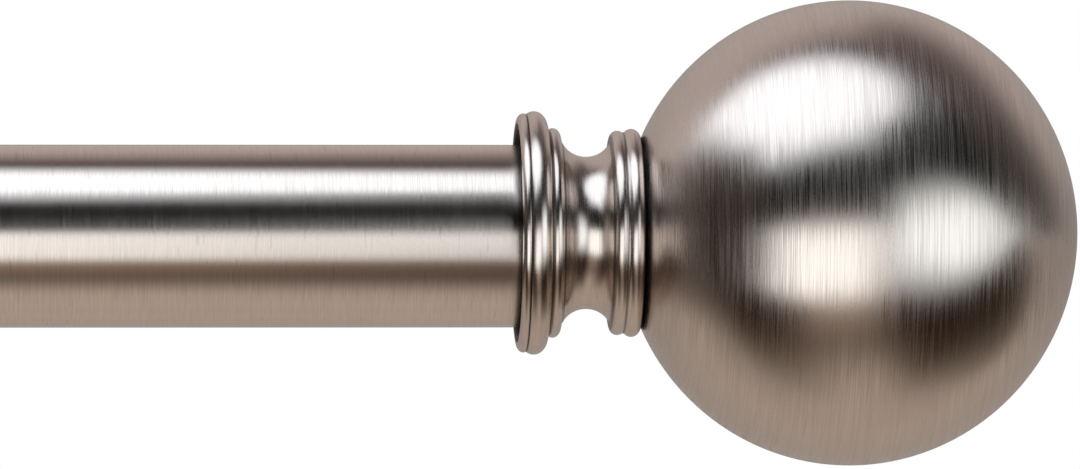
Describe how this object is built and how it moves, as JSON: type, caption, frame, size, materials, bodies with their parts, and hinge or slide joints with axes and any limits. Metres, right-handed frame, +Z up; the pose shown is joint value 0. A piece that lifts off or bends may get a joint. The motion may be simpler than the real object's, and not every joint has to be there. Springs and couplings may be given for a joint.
{
  "type": "curtain rod with brackets",
  "caption": "Telescoping round curtain rod in brushed nickel with ball finials on turned necks, held off the wall by adjustable cradle brackets.",
  "frame": {"origin": "on the wall plane, midway between the two wall plates and level with the rod's axis", "axes": "+X along the rod to the right as seen from the room, +Y into the wall, +Z up"},
  "size_m": [0.6122, 0.1524, 0.0647],
  "materials": {
    "brushed_nickel": "fine brushed satin nickel plate",
    "zinc_steel": "zinc plated",
    "brass": "turned",
    "nylon": "moulded natural nylon",
    "anchor_plastic": "moulded grey plastic"
  },
  "bodies": {
    "wall_side": {"right_wall_plate": "zinc_steel", "right_wall_cover": "brushed_nickel", "right_arm_sleeve": "brushed_nickel", "right_wall_screw_top": "zinc_steel", "right_wall_screw_lower_left": "zinc_steel", "right_wall_screw_lower_right": "zinc_steel", "right_wall_anchor_top": "anchor_plastic", "right_wall_anchor_lower_left": "anchor_plastic", "right_wall_anchor_lower_right": "anchor_plastic", "left_wall_plate": "zinc_steel", "left_wall_cover": "brushed_nickel", "left_arm_sleeve": "brushed_nickel", "left_wall_screw_top": "zinc_steel", "left_wall_screw_lower_left": "zinc_steel", "left_wall_screw_lower_right": "zinc_steel", "left_wall_anchor_top": "anchor_plastic", "left_wall_anchor_lower_left": "anchor_plastic", "left_wall_anchor_lower_right": "anchor_plastic"},
    "outer_rod": {"outer_tube": "brushed_nickel", "mouth_bush": "nylon", "right_end_plug": "nylon", "right_thread_insert": "brass"},
    "inner_rod": {"inner_tube": "brushed_nickel", "inner_tube_glide": "nylon", "left_end_plug": "nylon", "left_thread_insert": "brass", "left_reducer_ring": "brushed_nickel"},
    "right_arm": {"right_arm_bar": "brushed_nickel", "right_cradle": "brushed_nickel", "right_cradle_bolt": "zinc_steel"},
    "right_clamp_pad": {"right_clamp_pad": "nylon"},
    "right_clamp_screw": {"right_clamp_screw": "brushed_nickel"},
    "right_lock_pad": {"right_lock_pad": "brass"},
    "right_lock_screw": {"right_lock_screw": "brushed_nickel"},
    "right_washer": {"right_finial_washer": "nylon"},
    "right_finial": {"right_finial_neck": "brushed_nickel", "right_finial_ball": "brushed_nickel", "right_finial_stud": "zinc_steel", "right_finial_nut": "zinc_steel", "right_ball_boss": "zinc_steel"},
    "left_arm": {"left_arm_bar": "brushed_nickel", "left_cradle": "brushed_nickel", "left_cradle_bolt": "zinc_steel"},
    "left_clamp_pad": {"left_clamp_pad": "nylon"},
    "left_clamp_screw": {"left_clamp_screw": "brushed_nickel"},
    "left_lock_pad": {"left_lock_pad": "brass"},
    "left_lock_screw": {"left_lock_screw": "brushed_nickel"},
    "left_washer": {"left_finial_washer": "nylon"},
    "left_finial": {"left_finial_neck": "brushed_nickel", "left_finial_ball": "brushed_nickel", "left_finial_stud": "zinc_steel", "left_finial_nut": "zinc_steel", "left_ball_boss": "zinc_steel"}
  },
  "joints": [
    {"name": "right_arm_slide", "type": "slide", "parent": "wall_side", "child": "right_arm", "axis": [0, 1, 0], "range_m": [-0.02, 0.012]},
    {"name": "left_arm_slide", "type": "slide", "parent": "wall_side", "child": "left_arm", "axis": [0, 1, 0], "range_m": [-0.02, 0.012]},
    {"name": "rod_lift", "type": "slide", "parent": "right_arm", "child": "outer_rod", "axis": [0, 0, 1], "range_m": [0, 0.045]},
    {"name": "telescope", "type": "slide", "parent": "outer_rod", "child": "inner_rod", "axis": [-1, 0, 0], "range_m": [-0.05, 0.255]},
    {"name": "right_finial_travel", "type": "slide", "parent": "outer_rod", "child": "right_washer", "axis": [1, 0, 0], "range_m": [0, 0.0125]},
    {"name": "right_finial_turn", "type": "hinge", "parent": "right_washer", "child": "right_finial", "pos_m": [0.2275, -0.09, 0.00045], "axis": [1, 0, 0], "range_deg": [0, 3600.5]},
    {"name": "right_clamp_travel", "type": "slide", "parent": "right_arm", "child": "right_clamp_pad", "axis": [0, 0, 1], "range_m": [-0.0048, 0]},
    {"name": "right_clamp_turn", "type": "hinge", "parent": "right_clamp_pad", "child": "right_clamp_screw", "pos_m": [0.1125, -0.09, -0.0147], "axis": [0, 0, 1], "range_deg": [-2160.5, 0]},
    {"name": "right_lock_travel", "type": "slide", "parent": "wall_side", "child": "right_lock_pad", "axis": [0, 0, 1], "range_m": [-0.0021, 0]},
    {"name": "right_lock_turn", "type": "hinge", "parent": "right_lock_pad", "child": "right_lock_screw", "pos_m": [0.1125, -0.0477, -0.0068], "axis": [0, 0, 1], "range_deg": [-1080.5, 0]},
    {"name": "left_finial_travel", "type": "slide", "parent": "inner_rod", "child": "left_washer", "axis": [-1, 0, 0], "range_m": [0, 0.0125]},
    {"name": "left_finial_turn", "type": "hinge", "parent": "left_washer", "child": "left_finial", "pos_m": [-0.2275, -0.09, 0.00045], "axis": [-1, 0, 0], "range_deg": [0, 3600.5]},
    {"name": "left_clamp_travel", "type": "slide", "parent": "left_arm", "child": "left_clamp_pad", "axis": [0, 0, 1], "range_m": [-0.0048, 0]},
    {"name": "left_clamp_turn", "type": "hinge", "parent": "left_clamp_pad", "child": "left_clamp_screw", "pos_m": [-0.1125, -0.09, -0.0147], "axis": [0, 0, 1], "range_deg": [-2160.5, 0]},
    {"name": "left_lock_travel", "type": "slide", "parent": "wall_side", "child": "left_lock_pad", "axis": [0, 0, 1], "range_m": [-0.0021, 0]},
    {"name": "left_lock_turn", "type": "hinge", "parent": "left_lock_pad", "child": "left_lock_screw", "pos_m": [-0.1125, -0.0477, -0.0068], "axis": [0, 0, 1], "range_deg": [-1080.5, 0]}
  ],
  "couplings": [
    {"joint": "left_arm_slide", "follows": "right_arm_slide", "ratio": 1},
    {"joint": "right_finial_turn", "follows": "right_finial_travel", "rad_per_m": 5026.5},
    {"joint": "right_clamp_turn", "follows": "right_clamp_travel", "rad_per_m": 7854},
    {"joint": "right_lock_turn", "follows": "right_lock_travel", "rad_per_m": 8976},
    {"joint": "left_finial_turn", "follows": "left_finial_travel", "rad_per_m": 5026.5},
    {"joint": "left_clamp_turn", "follows": "left_clamp_travel", "rad_per_m": 7854},
    {"joint": "left_lock_turn", "follows": "left_lock_travel", "rad_per_m": 8976}
  ]
}
